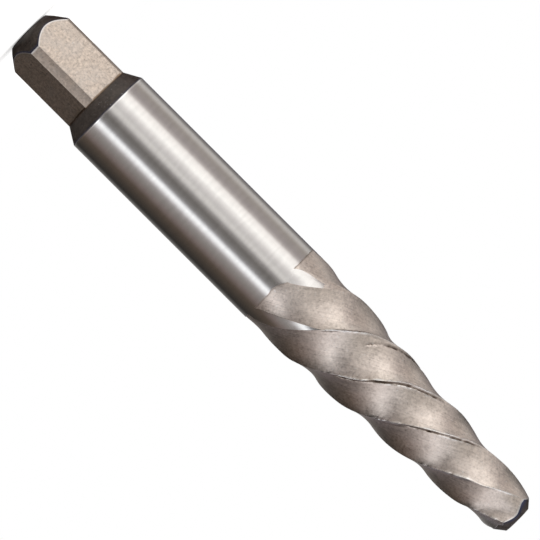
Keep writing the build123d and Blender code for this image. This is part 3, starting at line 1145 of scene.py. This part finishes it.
# What stands round the tool in the studio, as seen in the steel: angle from the camera towards
# the tool's upper side in degrees, and light in red, green and blue
LEVEL_CARDS = [
    (178, (0.00, 0.00, 0.03)),
    (142, (0.35, 0.33, 0.32)),
    (133, (0.66, 0.65, 0.64)),
    (123, (0.73, 0.70, 0.68)),
    (108, (0.47, 0.43, 0.40)),
    (84, (0.48, 0.44, 0.44)),
    (74, (0.71, 0.66, 0.65)),
    (67, (1.43, 1.39, 1.37)),
    (48, (1.66, 1.66, 1.64)),
    (34, (1.06, 1.03, 1.03)),
    (24, (0.85, 0.84, 0.84)),
    (16, (1.06, 1.04, 1.02)),
    (10, (0.88, 0.87, 0.86)),
    (3, (0.40, 0.38, 0.38)),
    (-7, (0.20, 0.19, 0.18)),
    (-20, (0.30, 0.29, 0.29)),
    (-24, (0.38, 0.38, 0.39)),
    (-28, (0.94, 0.96, 1.02)),
    (-33, (1.71, 1.77, 1.84)),
    (-38, (1.53, 1.57, 1.61)),
    (-44, (0.94, 0.93, 0.97)),
    (-50, (0.49, 0.46, 0.46)),
    (-60, (0.36, 0.34, 0.33)),
    (-76, (0.27, 0.22, 0.21)),
    (-90, (0.13, 0.10, 0.08)),
    (-112, (0.075, 0.063, 0.053)),
    (-135, (0.04, 0.038, 0.036)),
    (-178, (0.36, 0.35, 0.34)),
]
UPPER_CARDS = [
    (172, (0.00, 0.00, 0.00)),
    (130, (0.08, 0.09, 0.09)),
    (95, (0.48, 0.46, 0.46)),
    (65, (0.71, 0.69, 0.67)),
    (38, (0.43, 0.41, 0.39)),
    (12, (0.46, 0.45, 0.43)),
    (-12, (0.75, 0.76, 0.79)),
    (-38, (1.10, 1.10, 1.14)),
    (-62, (0.49, 0.46, 0.46)),
    (-95, (0.11, 0.10, 0.10)),
    (-172, (0.25, 0.23, 0.26)),
]
LOWER_CARDS = [
    (172, (0.00, 0.00, 0.00)),
    (130, (0.05, 0.00, 0.00)),
    (95, (0.72, 0.73, 0.73)),
    (65, (1.10, 1.10, 1.06)),
    (38, (0.51, 0.48, 0.45)),
    (12, (0.30, 0.28, 0.26)),
    (-12, (0.32, 0.29, 0.29)),
    (-38, (0.00, 0.00, 0.00)),
    (-62, (0.03, 0.03, 0.02)),
    (-95, (0.00, 0.00, 0.00)),
    (-172, (0.00, 0.00, 0.00)),
]

# Heights above and below the tool's middle between which the level cards give way to the others
LEVEL_HEIGHT = 0.16
OUTER_HEIGHT = 0.34
CARD_LIGHT = 2.0
CARD_RADIUS = 1.2
CARD_HEIGHT = 1.2
CARD_SIDES = 96
FLOOR_SIDES = 128
FLOOR_COLOUR = (0.92, 0.915, 0.905)
FLOOR_ROUGHNESS = 0.9
FLOOR_BRIGHTENING = 0.45
LAMP_SIZE = 0.35
LAMP_PLACE = (-0.25, -0.35, 0.5)


def seen_directly(nodes):
    """Share of the rays that see a white background: those of the camera, glossy ones and those
    that pass through."""
    path = nodes.add("ShaderNodeLightPath").outputs
    either = nodes.sums("MAXIMUM", path["Is Camera Ray"], path["Is Glossy Ray"])
    return nodes.sums("MAXIMUM", either, path["Is Transmission Ray"])


def studio_world(ambient):
    """White where it is seen, and an even plain light for everything else."""
    world = bpy.data.worlds.new("studio_world")
    nodes = Nodes(world)
    background = nodes.tree.nodes["Background"]
    background.inputs["Color"].default_value = (1, 1, 1, 1)
    nodes.put(background.inputs["Strength"], nodes.level(seen_directly(nodes), 0, 1, ambient, 1))
    world.cycles.sampling_method = "NONE"
    bpy.context.scene.world = world


def circle(radius, sides, height):
    """Points of a circle round the axis."""
    turn = np.linspace(0, 2 * math.pi, sides, endpoint=False)
    return [(radius * math.cos(angle), radius * math.sin(angle), height) for angle in turn]


def studio_floor(radius):
    """Round pale floor that keeps the tool's shadow."""
    mesh = bpy.data.meshes.new("studio_floor")
    mesh.from_pydata(circle(radius, FLOOR_SIDES, 0), [], [tuple(range(FLOOR_SIDES))])
    material = bpy.data.materials.new("studio_floor")
    nodes = Nodes(material)
    surface = {
        "Base Color": (*FLOOR_COLOUR, 1),
        "Roughness": FLOOR_ROUGHNESS,
        "Specular IOR Level": 0,
        "Emission Color": (1, 1, 1, 1),
        "Emission Strength": nodes.times(seen_directly(nodes), FLOOR_BRIGHTENING),
    }
    for name, value in surface.items():
        nodes.put(nodes.tree.nodes["Principled BSDF"].inputs[name], value)
    mesh.materials.append(material)
    floor = place("studio_floor", mesh)
    floor.visible_glossy = False
    return floor


def studio_cards(facing):
    """Closed drum of light and dark cards round the tool. Only the steel's reflections show it."""
    lower = circle(CARD_RADIUS, CARD_SIDES, -CARD_HEIGHT)
    upper = circle(CARD_RADIUS, CARD_SIDES, CARD_HEIGHT)
    pairs = [(i, (i + 1) % CARD_SIDES) for i in range(CARD_SIDES)]
    sides = [(this, following, CARD_SIDES + following, CARD_SIDES + this) for this, following in pairs]
    caps = [tuple(range(CARD_SIDES)), tuple(range(CARD_SIDES, 2 * CARD_SIDES))]
    mesh = bpy.data.meshes.new("studio_cards")
    mesh.from_pydata(lower + upper, [], sides + caps)
    mesh.materials.append(card_material())
    cards = place("studio_cards", mesh)
    cards.location.z = OVERALL_LENGTH / 2
    cards.rotation_euler.z = facing
    cards.visible_camera = False
    cards.visible_diffuse = False
    cards.visible_shadow = False
    return cards


def card_material():
    """Light of the cards by their place round the tool."""
    material = bpy.data.materials.new("studio_cards")
    nodes = Nodes(material)
    nodes.tree.nodes.clear()
    here = nodes.add("ShaderNodeTexCoord").outputs["Object"]
    around = nodes.add("ShaderNodeTexGradient", {"Vector": here}, gradient_type="RADIAL").outputs["Fac"]
    height = nodes.add("ShaderNodeSeparateXYZ", {"Vector": here}).outputs["Z"]
    light = card_row(nodes, around, LEVEL_CARDS)
    for cards, side in ((UPPER_CARDS, 1), (LOWER_CARDS, -1)):
        share = nodes.level(height, side * LEVEL_HEIGHT, side * OUTER_HEIGHT)
        share.node.interpolation_type = "SMOOTHSTEP"
        light = nodes.mixed(share, light, card_row(nodes, around, cards))
    light = nodes.add("ShaderNodeEmission", {"Color": light, "Strength": CARD_LIGHT}).outputs["Emission"]
    nodes.add("ShaderNodeOutputMaterial", {"Surface": light})
    return material


def card_row(nodes, around, cards):
    """Light of one row of cards, with soft steps from each to the next."""
    ramp = nodes.add("ShaderNodeValToRGB", {"Fac": around})
    stops = ramp.color_ramp.elements
    for _ in range(len(cards) - len(stops)):
        stops.new(0.5)
    for stop, (angle, light) in zip(stops, cards):
        stop.position = 0.5 - angle / 360
        stop.color = (*(channel / CARD_LIGHT for channel in light), 1)
    return ramp.outputs["Color"]


def studio_lamp(power):
    """Soft lamp above and to the side, for the shadow on the floor."""
    data = bpy.data.lights.new("studio_lamp", "AREA")
    data.energy = power
    data.size = LAMP_SIZE
    lamp = place("studio_lamp", data)
    lamp.location = LAMP_PLACE
    target = Vector((0, 0, OVERALL_LENGTH / 2))
    lamp.rotation_euler = (target - lamp.location).to_track_quat("-Z", "Y").to_euler()
    lamp.visible_glossy = False


# Where the middle of the tool's axis shows in the square picture, in pixels
PICTURE_SIZE = 540
MIDDLE_PIXEL = (272.25, 275.85)
SENSOR_WIDTH = 36.0


def studio_camera(studio):
    """Camera at the photograph's angle, rolled so that the upright tool lies slanted in the picture."""
    data = bpy.data.cameras.new("studio_camera")
    data.sensor_width = SENSOR_WIDTH
    data.lens = studio.focal_length
    camera = place("studio_camera", data)
    azimuth, roll = studio.camera_azimuth, studio.camera_roll
    back = Vector((math.sin(azimuth), -math.cos(azimuth), 0))
    side = Vector((-math.cos(azimuth), -math.sin(azimuth), 0))
    axis = Vector((0, 0, 1))
    right = math.cos(roll) * axis + math.sin(roll) * side
    up = -math.sin(roll) * axis + math.cos(roll) * side
    pixel = studio.camera_distance * SENSOR_WIDTH / data.lens / PICTURE_SIZE
    across = (MIDDLE_PIXEL[0] - PICTURE_SIZE / 2) * pixel
    down = (MIDDLE_PIXEL[1] - PICTURE_SIZE / 2) * pixel
    middle = Vector((0, 0, OVERALL_LENGTH / 2))
    camera.location = middle - across * right + down * up + studio.camera_distance * back
    camera.rotation_euler = Matrix((right, up, back)).transposed().to_euler()
    bpy.context.scene.camera = camera


def place(name, data):
    """Adds an object with its data to the scene."""
    added = bpy.data.objects.new(name, data)
    bpy.context.scene.collection.objects.link(added)
    return added


class EXTRACTOR_OT_build_tool(bpy.types.Operator):
    """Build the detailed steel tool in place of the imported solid"""

    bl_idname = "extractor.build_tool"
    bl_label = "Build Extractor"

    def execute(self, context):
        finish = context.scene.extractor_finish
        finishes = [
            ground_steel(finish.ground_colour),
            satin_steel(finish.satin_colour),
            blasted_steel(finish.blasted_colour),
            dark_steel(finish.dark_colour),
        ]
        mesh = ToolMesh(context.scene.extractor_sizes).build("extractor_tool", finishes)
        tool = place("extractor_tool", mesh)
        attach(tool, BODY)
        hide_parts(NODE)
        return {"FINISHED"}


class EXTRACTOR_OT_build_studio(bpy.types.Operator):
    """Build the floor, the light and the camera"""

    bl_idname = "extractor.build_studio"
    bl_label = "Build Studio"

    def execute(self, context):
        studio = context.scene.extractor_studio
        studio_world(studio.ambient_level)
        floor = studio_floor(studio.floor_radius)
        cards = studio_cards(studio.camera_azimuth - math.pi / 2)
        studio_lamp(studio.lamp_power)
        studio_camera(studio)
        context.scene.view_settings.view_transform = "Standard"
        return {"FINISHED"}


class EXTRACTOR_PT_panel(bpy.types.Panel):
    """Sizes, finishes and studio of the screw extractor"""

    bl_label = "Screw Extractor"
    bl_space_type = "VIEW_3D"
    bl_region_type = "UI"
    bl_category = "Extractor"

    def draw(self, context):
        for group in GROUPS:
            settings = getattr(context.scene, group)
            column = self.layout.column(align=True)
            for name in settings.bl_rna.properties.keys():
                if name not in ("rna_type", "name"):
                    column.prop(settings, name)
        self.layout.operator(EXTRACTOR_OT_build_tool.bl_idname)
        self.layout.operator(EXTRACTOR_OT_build_studio.bl_idname)


GROUPS = {
    "extractor_sizes": ExtractorSizes,
    "extractor_finish": ExtractorFinish,
    "extractor_studio": ExtractorStudio,
}
CLASSES = [*GROUPS.values(), EXTRACTOR_OT_build_tool, EXTRACTOR_OT_build_studio, EXTRACTOR_PT_panel]


def register():
    for each in CLASSES:
        bpy.utils.register_class(each)
    for name, group in GROUPS.items():
        setattr(bpy.types.Scene, name, bpy.props.PointerProperty(type=group))


def unregister():
    for name in GROUPS:
        delattr(bpy.types.Scene, name)
    for each in reversed(CLASSES):
        bpy.utils.unregister_class(each)


def main():
    register()
    bpy.ops.extractor.build_studio()
    bpy.ops.extractor.build_tool()


if __name__ == "__main__":
    main()
